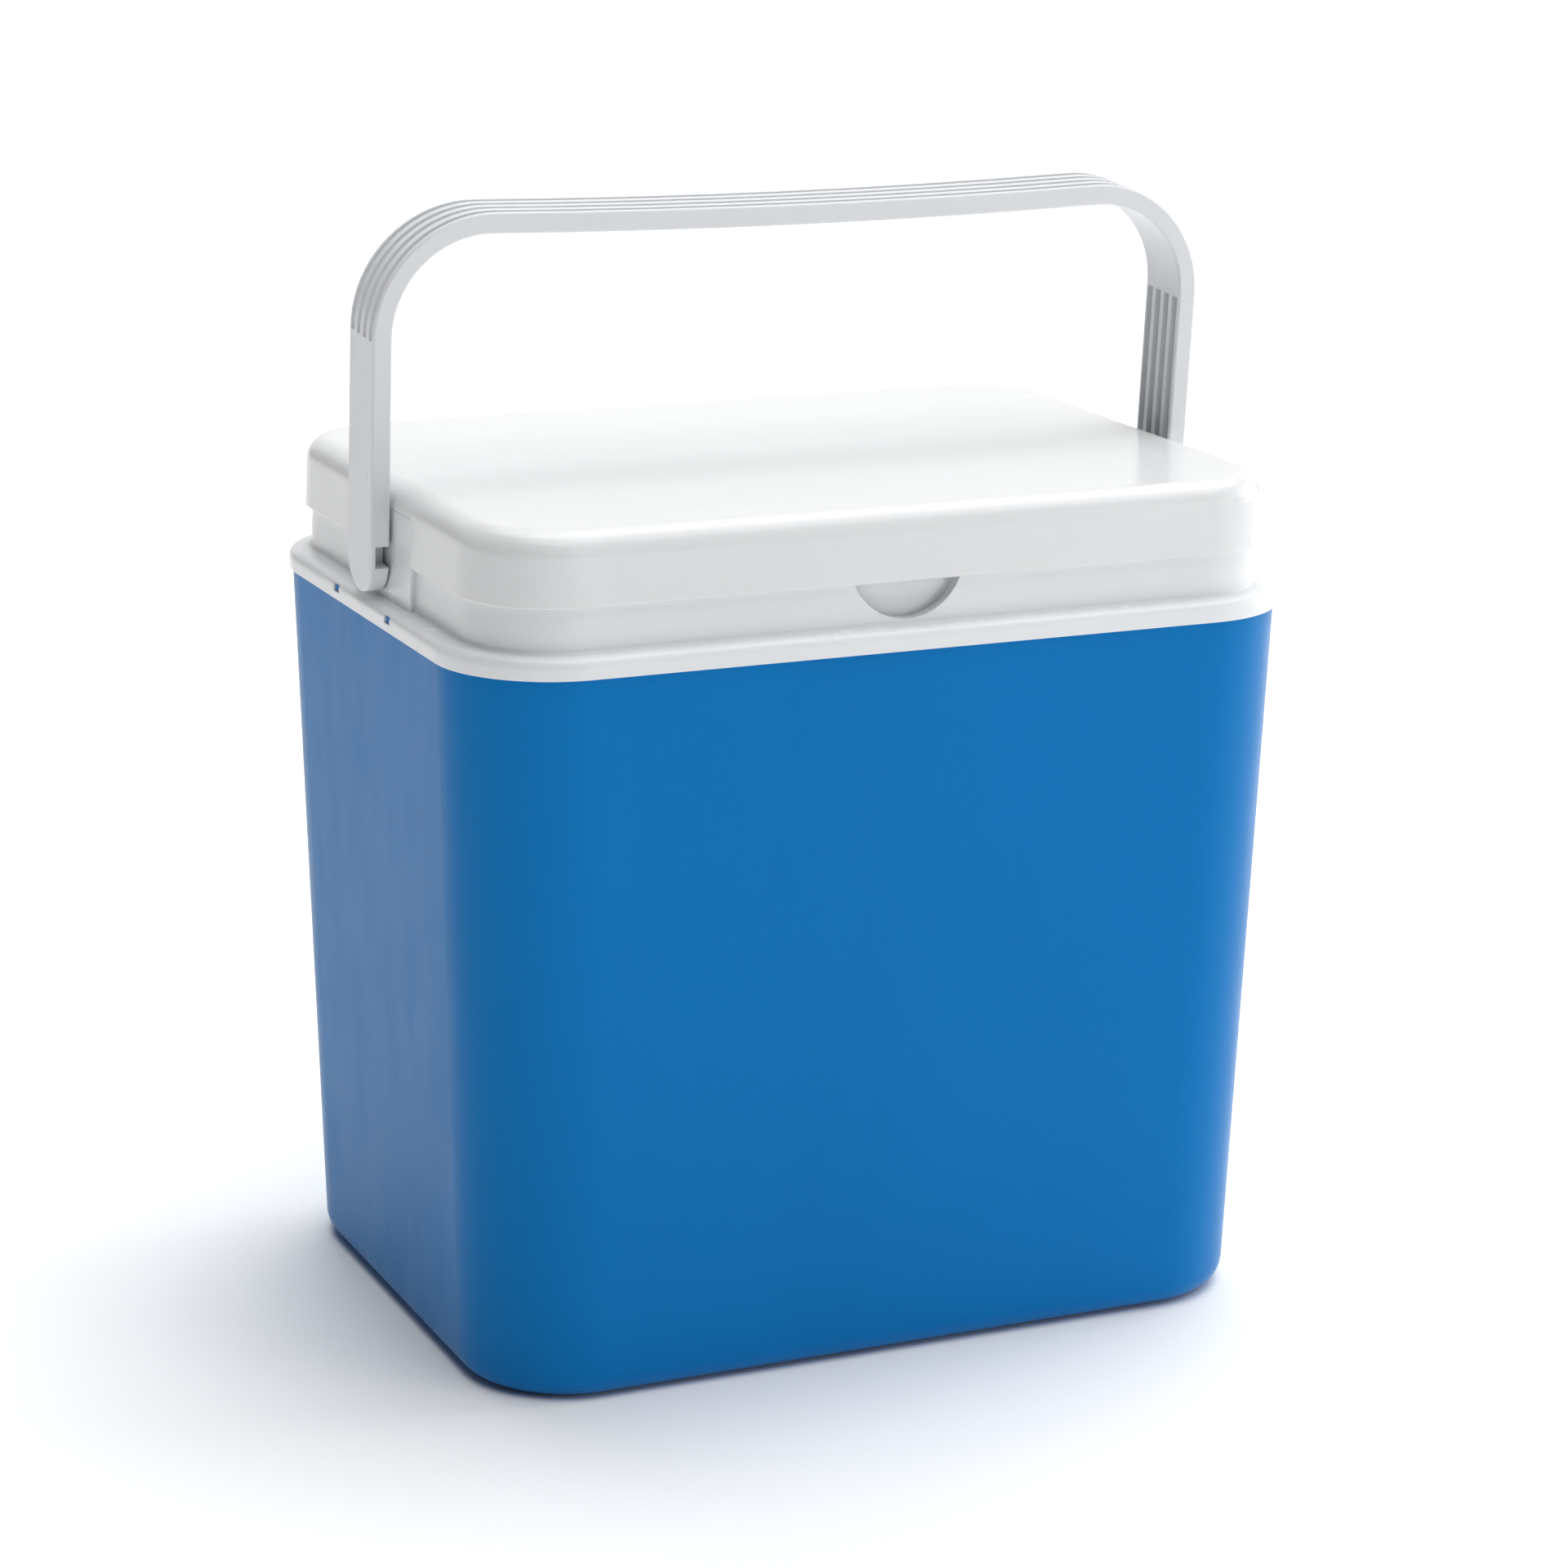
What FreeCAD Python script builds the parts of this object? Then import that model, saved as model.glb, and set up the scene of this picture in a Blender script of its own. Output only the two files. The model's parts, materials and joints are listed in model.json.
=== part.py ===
import FreeCAD, Part
import os
import re

import Sketcher

# Passive cooler chest, millimetres. X is the width, -Y the front, +Z up.
# The origin is at the middle of the face that the chest stands on.
# Every outline is a rounded rectangle given by its half sizes and its corner radius.

SIZES = {
    # outer shell: the blow-moulded blue tub, drafted so that it widens towards the collar
    "shell_base_half_x": 188.7,
    "shell_base_half_y": 139.0,
    "shell_top_half_x": 198.9,
    "shell_top_half_y": 145.0,
    "shell_corner": 51.0,
    "shell_top_z": 333.0,
    "shell_wall": 2.0,
    "shell_foot_round": 12.0,
    "shell_floor_round": 9.0,
    "foot_ring_width": 22.0,
    "foot_recess": 3.0,
    "hook_y": 34.3,
    "hook_z": 331.6,
    "hook_half_width": 3.1,
    "hook_half_height": 1.4,
    "hook_reach": 0.5,
    # inner liner: food tub, rim, neck, ledge and collar in one white moulding
    "collar_low_half_x": 200.0,
    "collar_low_half_y": 146.6,
    "collar_top_half_x": 200.6,
    "collar_top_half_y": 147.0,
    "collar_low_corner": 52.0,
    "collar_top_corner": 53.0,
    "collar_low_z": 326.0,
    "collar_round": 4.5,
    "collar_lip_round": 0.6,
    "skirt_half_x": 199.1,
    "skirt_half_y": 145.6,
    "skirt_corner": 51.0,
    "ledge_z": 335.5,
    "neck_low_half_x": 189.3,
    "neck_low_half_y": 137.4,
    "neck_top_half_x": 187.6,
    "neck_top_half_y": 135.7,
    "neck_low_corner": 40.5,
    "neck_top_corner": 39.0,
    "rim_z": 372.0,
    "liner_wall": 2.0,
    "tub_base_half_x": 164.0,
    "tub_base_half_y": 114.0,
    "tub_top_half_x": 172.0,
    "tub_top_half_y": 119.5,
    "tub_corner": 27.0,
    "tub_floor_z": 28.0,
    "tub_floor_round": 12.0,
    "pad_half_width": 40.0,
    "pad_low_x": 191.6,
    "pad_top_x": 190.4,
    "pad_top_z": 376.0,
    "pad_tab_thickness": 1.8,
    "pad_round": 1.0,
    "ledge_fillet": 2.0,
    "rim_round": 1.2,
    "window_half_width": 3.5,
    "window_half_height": 1.8,
    "recess_radius": 27.2,
    "recess_centre_z": 365.2,
    "recess_top_z": 364.0,
    "recess_floor_y": 131.0,
    # foam boards between the shell and the liner
    "foam_gap": 0.3,
    "foam_floor_top_z": 25.6,
    "foam_floor_chamfer": 9.0,
    "foam_side_top_z": 332.5,
    "mitre_apex_x": 49.0,
    # lid: cap, pan, foam block and seal
    "cap_low_half_x": 191.6,
    "cap_low_half_y": 139.5,
    "cap_top_half_x": 190.0,
    "cap_top_half_y": 137.7,
    "cap_low_corner": 42.0,
    "cap_top_corner": 39.5,
    "cap_low_z": 355.0,
    "cap_top_z": 386.6,
    "cap_round": 11.0,
    "cap_wall": 2.2,
    "cap_step_wall": 3.9,
    "cap_ceiling_round": 6.5,
    "cap_lip_round": 0.8,
    "notch_gap": 0.3,
    "pan_flange_half_x": 187.5,
    "pan_flange_half_y": 135.5,
    "pan_flange_low_z": 374.0,
    "pan_flange_top_z": 376.0,
    "plug_top_half_x": 170.5,
    "plug_top_half_y": 118.0,
    "plug_low_half_x": 168.0,
    "plug_low_half_y": 115.5,
    "plug_corner": 26.0,
    "plug_low_z": 352.0,
    "plug_round": 4.0,
    "pan_wall": 2.0,
    "lid_foam_half_x": 183.0,
    "lid_foam_half_y": 131.0,
    "lid_foam_corner": 38.4,
    "lid_foam_top_z": 384.0,
    "lid_foam_round": 5.0,
    "seal_half_x": 186.0,
    "seal_half_y": 133.7,
    "seal_width": 11.0,
    "seal_low_z": 372.3,
    # carrying handle: a flat U-shaped strap on two pivot pins, leaning a little to the front
    "handle_tilt": 4.2,
    "arm_inner_x": 192.2,
    "arm_outer_x": 200.9,
    "strap_half_width": 16.0,
    "strap_edge_round": 1.2,
    "strap_end_flat": 0.05,
    "crossbar_top_z": 503.5,
    "crossbar_low_z": 494.4,
    "crossbar_sag_radius": 4263.0,
    "bend_outer_radius": 54.0,
    "bend_inner_radius": 44.0,
    "flute_pitch": 7.8,
    "flute_count": 4,
    "grip_flute_width": 3.6,
    "grip_flute_depth": 1.4,
    "arm_flute_width": 4.8,
    "arm_flute_depth": 4.5,
    "arm_flute_low_z": 372.0,
    "arm_flute_top_z": 451.2,
    "hub_notch_depth": 6.6,
    "hub_notch_z": 356.3,
    "hub_notch_half_height": 4.95,
    "hub_half_width": 6.5,
    # pivot pins
    "pivot_z": 353.6,
    "pin_hole_radius": 4.0,
    "pin_bore_radius": 4.05,
    "pin_bore_depth": 6.8,
    "pin_radius": 3.97,
    "pin_head_radius": 7.0,
    "pin_head_inner_x": 183.4,
    "pin_head_outer_x": 185.7,
    "pin_tip_x": 198.6,
    "pin_chamfer": 0.5,
    # how far a cut starts outside the face that it goes into
    "cut_margin": 1.0,
}

ORIGIN = (-1, 1)
HORIZONTAL_AXIS = -1
VERTICAL_AXIS = -2
START, END, CENTRE = 1, 2, 3
LEVEL_TOLERANCE = 0.01
FULL_TURN = 360
MM3_PER_CM3 = 1000

doc = FreeCAD.newDocument("CoolerChest")
sheet = doc.addObject("Spreadsheet::Sheet", "Sizes")
for row, (alias, size) in enumerate(SIZES.items(), start=1):
    sheet.set(f"A{row}", alias)
    sheet.set(f"B{row}", str(size))
    sheet.setAlias(f"B{row}", alias)
doc.recompute()


# ---- expressions -----------------------------------------------------------------------

def bound(formula):
    """The formula with each size's name pointing at its cell in the sheet."""

    def pointed(word):
        return f"Sizes.{word[0]}" if word[0] in SIZES else word[0]

    return re.sub(r"[a-z][a-z_]*", pointed, formula)


def value(formula):
    return float(sheet.evalExpression(bound(formula)))


def between(low, high, low_z, high_z, level):
    """A size at one level of a wall that runs straight from low to high."""
    return f"({low} + ({high} - {low}) * ({level} - {low_z}) / ({high_z} - {low_z}))"


# ---- sketches --------------------------------------------------------------------------

def new_body(label):
    body = doc.addObject("PartDesign::Body", label)
    body.Label = label
    return body


def origin_feature(body, role):
    return next(item for item in body.Origin.OriginFeatures if item.Role == role)


def new_sketch(body, name, role, offset="0"):
    """A sketch on an origin plane, moved along the plane's normal by offset."""
    sketch = body.newObject("Sketcher::SketchObject", name)
    sketch.AttachmentSupport = [(origin_feature(body, role), "")]
    sketch.MapMode = "FlatFace"
    sketch.setExpression("AttachmentOffset.Base.z", bound(offset))
    return sketch


def bind(sketch, kind, references, formula, name):
    """A dimension that follows the formula; it stays positive by turning its ends round."""
    size = value(formula)
    if size < 0:
        references = references[2:] + references[:2]
        formula = f"-({formula})"
        size = -size
    sketch.addConstraint(Sketcher.Constraint(kind, *references, size))
    sketch.renameConstraint(sketch.ConstraintCount - 1, name)
    sketch.setExpression(f"Constraints.{name}", bound(formula))


def place_point(sketch, geometry, end, across, up, name):
    """Ties a point of the sketch to the origin by its two coordinates."""
    for kind, formula, axis in (("DistanceX", across, VERTICAL_AXIS), ("DistanceY", up, HORIZONTAL_AXIS)):
        if value(formula) == 0:
            sketch.addConstraint(Sketcher.Constraint("PointOnObject", geometry, end, axis))
        else:
            bind(sketch, kind, ORIGIN + (geometry, end), formula, f"{name}_{kind[-1].lower()}")


def add_polygon(sketch, corners, name="p"):
    """A closed outline of straight lines; every corner is a pair of formulas."""
    points = [FreeCAD.Vector(value(across), value(up), 0) for across, up in corners]
    first = sketch.GeometryCount
    total = len(corners)
    for index, point in enumerate(points):
        sketch.addGeometry(Part.LineSegment(point, points[(index + 1) % total]), False)
    for index in range(total):
        following = first + (index + 1) % total
        sketch.addConstraint(Sketcher.Constraint("Coincident", first + index, END, following, START))
    for index, (across, up) in enumerate(corners):
        place_point(sketch, first + index, START, across, up, f"{name}{index}")


def add_box(sketch, left, right, low, high, name="b"):
    add_polygon(sketch, [(left, low), (right, low), (right, high), (left, high)], name)


def add_circle(sketch, across, up, radius):
    centre = FreeCAD.Vector(value(across), value(up), 0)
    circle = sketch.addGeometry(Part.Circle(centre, FreeCAD.Vector(0, 0, 1), value(radius)), False)
    place_point(sketch, circle, CENTRE, across, up, "centre")
    bind(sketch, "Radius", (circle,), radius, "radius")


def add_arc(sketch, centre, radius, start_degrees, end_degrees):
    circle = Part.Circle(FreeCAD.Vector(*centre, 0), FreeCAD.Vector(0, 0, 1), radius)
    turn = FreeCAD.Units.Quantity("1 deg").getValueAs("rad").Value
    return sketch.addGeometry(Part.ArcOfCircle(circle, start_degrees * turn, end_degrees * turn), False)


def add_rounded_rectangle(sketch, half_x, half_y, radius, name=""):
    """Four straight sides joined by four equal arcs, centred on the origin."""
    across, up, corner = value(half_x), value(half_y), value(radius)
    arcs = []
    for index, (side_x, side_y) in enumerate(((1, 1), (-1, 1), (-1, -1), (1, -1))):
        centre = (side_x * (across - corner), side_y * (up - corner))
        arcs.append(add_arc(sketch, centre, corner, 90 * index, 90 * index + 90))
    lines = []
    for index in range(4):
        start = sketch.getPoint(arcs[index], END)
        end = sketch.getPoint(arcs[(index + 1) % 4], START)
        lines.append(sketch.addGeometry(Part.LineSegment(start, end), False))
    for index in range(4):
        following = arcs[(index + 1) % 4]
        sketch.addConstraint(Sketcher.Constraint("Tangent", arcs[index], END, lines[index], START))
        sketch.addConstraint(Sketcher.Constraint("Tangent", lines[index], END, following, START))
    for index, direction in enumerate(("Horizontal", "Vertical", "Horizontal", "Vertical")):
        sketch.addConstraint(Sketcher.Constraint(direction, lines[index]))
    for arc in arcs[1:]:
        sketch.addConstraint(Sketcher.Constraint("Equal", arcs[0], arc))
    sketch.addConstraint(Sketcher.Constraint("Symmetric", arcs[0], CENTRE, arcs[2], CENTRE, *ORIGIN))
    bind(sketch, "DistanceX", ORIGIN + (arcs[0], START), half_x, f"half_x{name}")
    bind(sketch, "DistanceY", ORIGIN + (arcs[0], END), half_y, f"half_y{name}")
    bind(sketch, "Radius", (arcs[0],), radius, f"radius{name}")


def level_outline(body, name, level, half_x, half_y, radius):
    sketch = new_sketch(body, name, "XY_Plane", level)
    add_rounded_rectangle(sketch, half_x, half_y, radius)
    return sketch


# ---- features --------------------------------------------------------------------------

def loft(body, kind, name, *levels):
    """A straight-sided loft through rounded rectangles: (level, half_x, half_y, radius)."""
    outlines = [level_outline(body, f"{name}_at_{i}", *level) for i, level in enumerate(levels)]
    feature = body.newObject(f"PartDesign::{kind}Loft", name)
    feature.Profile = outlines[0]
    feature.Sections = outlines[1:]
    feature.Ruled = True
    return changed(body, feature, kind)


def extrude(body, kind, name, sketch, length, reverse=False, midplane=False):
    feature = body.newObject(f"PartDesign::{kind}", name)
    feature.Profile = sketch
    feature.SideType = "Symmetric" if midplane else "One side"
    feature.Reversed = reverse
    feature.setExpression("Length", bound(length))
    return changed(body, feature, "Subtractive" if kind == "Pocket" else "Additive")


def changed(body, feature, kind):
    """Recomputes, and stops if a feature adds or takes away nothing."""
    before = body.BaseVolume if hasattr(body, "BaseVolume") else 0.0
    body.Tip = feature
    doc.recompute()
    volume = feature.Shape.Volume
    grew = volume - before
    if grew * (1 if kind == "Additive" else -1) < LEVEL_TOLERANCE:
        raise RuntimeError(f"{body.Label}.{feature.Name} changed the volume by {grew:.3f}")
    if not hasattr(body, "BaseVolume"):
        body.addProperty("App::PropertyFloat", "BaseVolume", "Checks", "Volume after the last feature")
    body.BaseVolume = volume
    return feature


def mirror(body, name, feature, kind, role="YZ_Plane"):
    """Repeats a feature on the other side of an origin plane."""
    copy = body.newObject("PartDesign::Mirrored", name)
    copy.Originals = [feature]
    copy.MirrorPlane = (origin_feature(body, role), [""])
    return changed(body, copy, kind)


def pattern(body, name, feature, kind, role, length, count):
    """Repeats a feature in a row along an origin axis."""
    row_of = body.newObject("PartDesign::LinearPattern", name)
    row_of.Originals = [feature]
    row_of.Direction = (origin_feature(body, role), [""])
    row_of.setExpression("Length", bound(length))
    row_of.setExpression("Occurrences", bound(count))
    return changed(body, row_of, kind)


def edges_where(shape, test):
    return [f"Edge{i}" for i, edge in enumerate(shape.Edges, start=1) if test(edge.BoundBox)]


def flat_at(level):
    """A test for edges that lie wholly in one level."""
    height = value(level)
    return lambda box: abs(box.ZMin - height) < LEVEL_TOLERANCE and abs(box.ZMax - height) < LEVEL_TOLERANCE


def inside(half_x, half_y):
    """A test for edges that lie within a rectangle about the axis."""
    reach_x, reach_y = value(half_x) + LEVEL_TOLERANCE, value(half_y) + LEVEL_TOLERANCE
    return lambda box: (max(box.XMax, -box.XMin) < reach_x) and (max(box.YMax, -box.YMin) < reach_y)


def both(first, second):
    return lambda box: first(box) and second(box)


def outside(test):
    return lambda box: not test(box)


def fillet(body, name, base, edges, radius, kind="Subtractive"):
    feature = body.newObject("PartDesign::Fillet", name)
    feature.Base = (base, edges)
    feature.setExpression("Radius", bound(radius))
    return changed(body, feature, kind)


# ---- outer shell -----------------------------------------------------------------------

def shell_half(axis, level, inset="0"):
    size = between(f"shell_base_half_{axis}", f"shell_top_half_{axis}", "0", "shell_top_z", level)
    return f"({size} - {inset})"


def make_outer_shell():
    body = new_body("outer_shell")
    loft(
        body, "Additive", "skin",
        ("0", shell_half("x", "0"), shell_half("y", "0"), "shell_corner"),
        ("shell_top_z", shell_half("x", "shell_top_z"), shell_half("y", "shell_top_z"), "shell_corner"),
    )
    floor = "foot_recess + shell_wall"
    inner_corner = "shell_corner - shell_wall"
    cavity = loft(
        body, "Subtractive", "cavity",
        (floor, shell_half("x", f"({floor})", "shell_wall"), shell_half("y", f"({floor})", "shell_wall"),
         inner_corner),
        ("shell_top_z", shell_half("x", "shell_top_z", "shell_wall"),
         shell_half("y", "shell_top_z", "shell_wall"), inner_corner),
    )
    fillet(body, "floor_round", cavity, edges_where(cavity.Shape, flat_at(floor)), "shell_floor_round",
           "Additive")
    recess = level_outline(
        body, "foot_recess_outline", "0", "shell_base_half_x - foot_ring_width",
        "shell_base_half_y - foot_ring_width", "shell_corner - foot_ring_width",
    )
    recessed = extrude(body, "Pocket", "foot_recess_cut", recess, "foot_recess", reverse=True)
    within_ring = inside("shell_base_half_x - foot_ring_width", "shell_base_half_y - foot_ring_width")
    outer_foot = both(flat_at("0"), outside(within_ring))
    fillet(body, "foot_round", recessed, edges_where(recessed.Shape, outer_foot), "shell_foot_round")
    hooks = new_sketch(body, "hook_outline", "YZ_Plane", "shell_top_half_x - shell_wall / 2")
    for side in ("", "-"):
        add_box(
            hooks, f"{side}(hook_y) - hook_half_width", f"{side}(hook_y) + hook_half_width",
            "hook_z - hook_half_height", "hook_z + hook_half_height", "left" if side else "right",
        )
    hook = extrude(body, "Pad", "snap_hooks", hooks, "hook_reach + shell_wall / 2")
    mirror(body, "snap_hooks_mirrored", hook, "Additive")
    return body


# ---- inner liner -----------------------------------------------------------------------

def neck_half(axis, level, inset="0"):
    size = between(f"neck_low_half_{axis}", f"neck_top_half_{axis}", "ledge_z", "rim_z", level)
    return f"({size} - {inset})"


def tub_half(axis, level, grow="0"):
    size = between(f"tub_base_half_{axis}", f"tub_top_half_{axis}", "tub_floor_z", "rim_z", level)
    return f"({size} + {grow})"


def add_recess_outline(sketch, radius, top):
    """The part of a disc that lies under a level chord."""
    reach, chord, middle = value(radius), value(top), value("recess_centre_z")
    half = (reach ** 2 - (chord - middle) ** 2) ** 0.5
    left, right = FreeCAD.Vector(-half, chord, 0), FreeCAD.Vector(half, chord, 0)
    low = FreeCAD.Vector(0, middle - reach, 0)
    arc = sketch.addGeometry(Part.Arc(left, low, right), False)
    line = sketch.addGeometry(Part.LineSegment(right, left), False)
    arc_left = START if sketch.getPoint(arc, START).x < 0 else END
    arc_right = END if arc_left == START else START
    sketch.addConstraint(Sketcher.Constraint("Coincident", arc, arc_right, line, START))
    sketch.addConstraint(Sketcher.Constraint("Coincident", line, END, arc, arc_left))
    sketch.addConstraint(Sketcher.Constraint("Horizontal", line))
    place_point(sketch, arc, CENTRE, "0", "recess_centre_z", "centre")
    bind(sketch, "Radius", (arc,), radius, "radius")
    bind(sketch, "DistanceY", ORIGIN + (line, START), top, "chord")


def make_inner_liner():
    body = new_body("inner_liner")
    loft(
        body, "Additive", "collar",
        ("collar_low_z", "collar_low_half_x", "collar_low_half_y", "collar_low_corner"),
        ("ledge_z", "collar_top_half_x", "collar_top_half_y", "collar_top_corner"),
    )
    skirt = level_outline(body, "skirt_outline", "collar_low_z", "skirt_half_x", "skirt_half_y",
                          "skirt_corner")
    hollow = extrude(body, "Pocket", "skirt_cavity", skirt, "ledge_z - liner_wall - collar_low_z",
                     reverse=True)
    fillet(body, "collar_round_edge", hollow, edges_where(hollow.Shape, flat_at("ledge_z")), "collar_round")
    neck_base = "ledge_z - liner_wall"
    neck = loft(
        body, "Additive", "neck",
        (neck_base, neck_half("x", f"({neck_base})"), neck_half("y", f"({neck_base})"), "neck_low_corner"),
        ("rim_z", neck_half("x", "rim_z"), neck_half("y", "rim_z"), "neck_top_corner"),
    )
    neck_foot = both(flat_at("ledge_z"), inside("neck_low_half_x", "neck_low_half_y"))
    fillet(body, "ledge_fillet_edge", neck, edges_where(neck.Shape, neck_foot), "ledge_fillet", "Additive")
    pad = new_sketch(body, "pad_outline", "XZ_Plane")
    add_polygon(pad, [
        ("neck_low_half_x - liner_wall / 2", "ledge_z - liner_wall / 2"),
        ("pad_low_x", "ledge_z - liner_wall / 2"),
        ("pad_top_x", "pad_top_z"),
        ("pad_top_x - pad_tab_thickness", "pad_top_z"),
        ("pad_top_x - pad_tab_thickness", "rim_z"),
        ("neck_top_half_x - liner_wall / 2", "rim_z"),
    ])
    side_pad = extrude(body, "Pad", "handle_pad", pad, "2 * pad_half_width", midplane=True)
    padded = mirror(body, "handle_pad_mirrored", side_pad, "Additive")
    pad_edge = value("pad_half_width")
    half_pad_height = value("(pad_top_z - ledge_z) / 2")

    def pad_corner(box):
        on_side = box.YLength < LEVEL_TOLERANCE and abs(abs(box.YMax) - pad_edge) < LEVEL_TOLERANCE
        on_face = max(abs(box.XMin), abs(box.XMax)) > value("pad_top_x")
        return on_side and on_face and box.ZLength > half_pad_height

    fillet(body, "pad_round_edge", padded, edges_where(padded.Shape, pad_corner), "pad_round")
    channel_low = "(ledge_z - 2 * liner_wall)"
    channel_top = "(rim_z - liner_wall)"
    loft(
        body, "Subtractive", "neck_channel",
        (channel_low, neck_half("x", channel_low, "liner_wall"), neck_half("y", channel_low, "liner_wall"),
         "neck_low_corner - liner_wall"),
        (channel_top, neck_half("x", channel_top, "liner_wall"), neck_half("y", channel_top, "liner_wall"),
         "neck_top_corner - liner_wall"),
    )
    backing = new_sketch(body, "recess_backing_outline", "XZ_Plane", "recess_floor_y - liner_wall")
    add_recess_outline(backing, "recess_radius + liner_wall", "recess_top_z + liner_wall")
    wall_middle_y = "(neck_low_half_y + neck_top_half_y - liner_wall) / 2"
    extrude(body, "Pad", "recess_backing", backing, f"{wall_middle_y} - (recess_floor_y - liner_wall)")
    recess = new_sketch(body, "finger_recess_outline", "XZ_Plane", "recess_floor_y")
    add_recess_outline(recess, "recess_radius", "recess_top_z")
    extrude(body, "Pocket", "finger_recess", recess, "collar_low_half_y - recess_floor_y", reverse=True)
    outer_floor = "(tub_floor_z - liner_wall)"
    loft(
        body, "Additive", "tub",
        (outer_floor, tub_half("x", outer_floor, "liner_wall"), tub_half("y", outer_floor, "liner_wall"),
         "tub_corner + liner_wall"),
        ("rim_z", tub_half("x", "rim_z", "liner_wall"), tub_half("y", "rim_z", "liner_wall"),
         "tub_corner + liner_wall"),
    )
    cavity = loft(
        body, "Subtractive", "tub_cavity",
        ("tub_floor_z", tub_half("x", "tub_floor_z"), tub_half("y", "tub_floor_z"), "tub_corner"),
        ("rim_z", tub_half("x", "rim_z"), tub_half("y", "rim_z"), "tub_corner"),
    )
    floor_edges = edges_where(cavity.Shape, flat_at("tub_floor_z"))
    floored = fillet(body, "tub_floor_round_edge", cavity, floor_edges, "tub_floor_round", "Additive")
    mouth = both(flat_at("rim_z"), inside("tub_top_half_x", "tub_top_half_y"))
    rimmed = fillet(body, "rim_round_edge", floored, edges_where(floored.Shape, mouth), "rim_round")
    lip = both(flat_at("collar_low_z"), outside(inside("skirt_half_x", "skirt_half_y")))
    fillet(body, "collar_lip_round_edge", rimmed, edges_where(rimmed.Shape, lip), "collar_lip_round")
    windows = new_sketch(body, "window_outline", "YZ_Plane", "skirt_half_x - cut_margin")
    for side in ("", "-"):
        add_box(
            windows, f"{side}(hook_y) - window_half_width", f"{side}(hook_y) + window_half_width",
            "hook_z - window_half_height", "hook_z + window_half_height", "left" if side else "right",
        )
    window_depth = "collar_top_half_x - skirt_half_x + 2 * cut_margin"
    window = extrude(body, "Pocket", "windows", windows, window_depth, reverse=True)
    mirror(body, "windows_mirrored", window, "Subtractive")
    hole_outline = new_sketch(body, "pin_hole_outline", "YZ_Plane", "pin_head_outer_x - cut_margin")
    add_circle(hole_outline, "0", "pivot_z", "pin_hole_radius")
    hole_depth = "pad_low_x - pin_head_outer_x + 2 * cut_margin"
    hole = extrude(body, "Pocket", "pin_hole", hole_outline, hole_depth, reverse=True)
    mirror(body, "pin_hole_mirrored", hole, "Subtractive")
    return body


# ---- foam boards -----------------------------------------------------------------------

def make_floor_board():
    body = new_body("insulation_floor")
    low = "(foot_recess + shell_wall + foam_gap)"
    inset = "(shell_wall + foam_gap)"
    corner = f"shell_corner - {inset}"
    shoulder = f"({low} + foam_floor_chamfer)"
    foot_inset = f"({inset} + foam_floor_chamfer)"
    loft(
        body, "Additive", "board",
        (low, shell_half("x", low, foot_inset), shell_half("y", low, foot_inset),
         f"{corner} - foam_floor_chamfer"),
        (shoulder, shell_half("x", shoulder, inset), shell_half("y", shoulder, inset), corner),
        ("foam_floor_top_z", shell_half("x", "foam_floor_top_z", inset),
         shell_half("y", "foam_floor_top_z", inset), corner),
    )
    return body


def make_side_boards():
    """One ring of foam round the tub, parted by mitres into four boards."""
    ring = new_body("foam_ring")
    low, high = "(foam_floor_top_z + foam_gap)", "foam_side_top_z"
    inset = "(shell_wall + foam_gap)"
    grow = "(liner_wall + foam_gap)"
    loft(
        ring, "Additive", "outside",
        (low, shell_half("x", low, inset), shell_half("y", low, inset), f"shell_corner - {inset}"),
        (high, shell_half("x", high, inset), shell_half("y", high, inset), f"shell_corner - {inset}"),
    )
    loft(
        ring, "Subtractive", "inside",
        (low, tub_half("x", low, grow), tub_half("y", low, grow), f"tub_corner + {grow}"),
        (high, tub_half("x", high, grow), tub_half("y", high, grow), f"tub_corner + {grow}"),
    )
    reach = "shell_top_half_x"
    near, far = "(mitre_apex_x + foam_gap / 2)", "(mitre_apex_x - foam_gap / 2)"
    end_span = f"({reach} - {near})"
    long_span = f"({reach} - {far})"
    outlines = {
        "insulation_right": [(near, "0"), (reach, f"-{end_span}"), (reach, end_span)],
        "insulation_left": [(f"-{near}", "0"), (f"-{reach}", end_span), (f"-{reach}", f"-{end_span}")],
        "insulation_front": [(f"-{far}", "0"), (f"-{reach}", f"-{long_span}"), (reach, f"-{long_span}"),
                             (far, "0")],
        "insulation_back": [(f"-{far}", "0"), (far, "0"), (reach, long_span), (f"-{reach}", long_span)],
    }
    boards = []
    for label, corners in outlines.items():
        wedge = new_body(f"{label}_mitre")
        outline = new_sketch(wedge, f"{label}_mitre_outline", "XY_Plane")
        add_polygon(outline, corners)
        extrude(wedge, "Pad", f"{label}_mitre_block", outline, "rim_z")
        board = doc.addObject("Part::Common", label)
        board.Label = label
        board.Base = ring
        board.Tool = wedge
        boards.append(board)
    doc.recompute()
    return boards


# ---- lid -------------------------------------------------------------------------------

def cap_half(axis, level, inset="0"):
    size = between(f"cap_low_half_{axis}", f"cap_top_half_{axis}", "cap_low_z", "cap_top_z", level)
    return f"({size} - {inset})"


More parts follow.
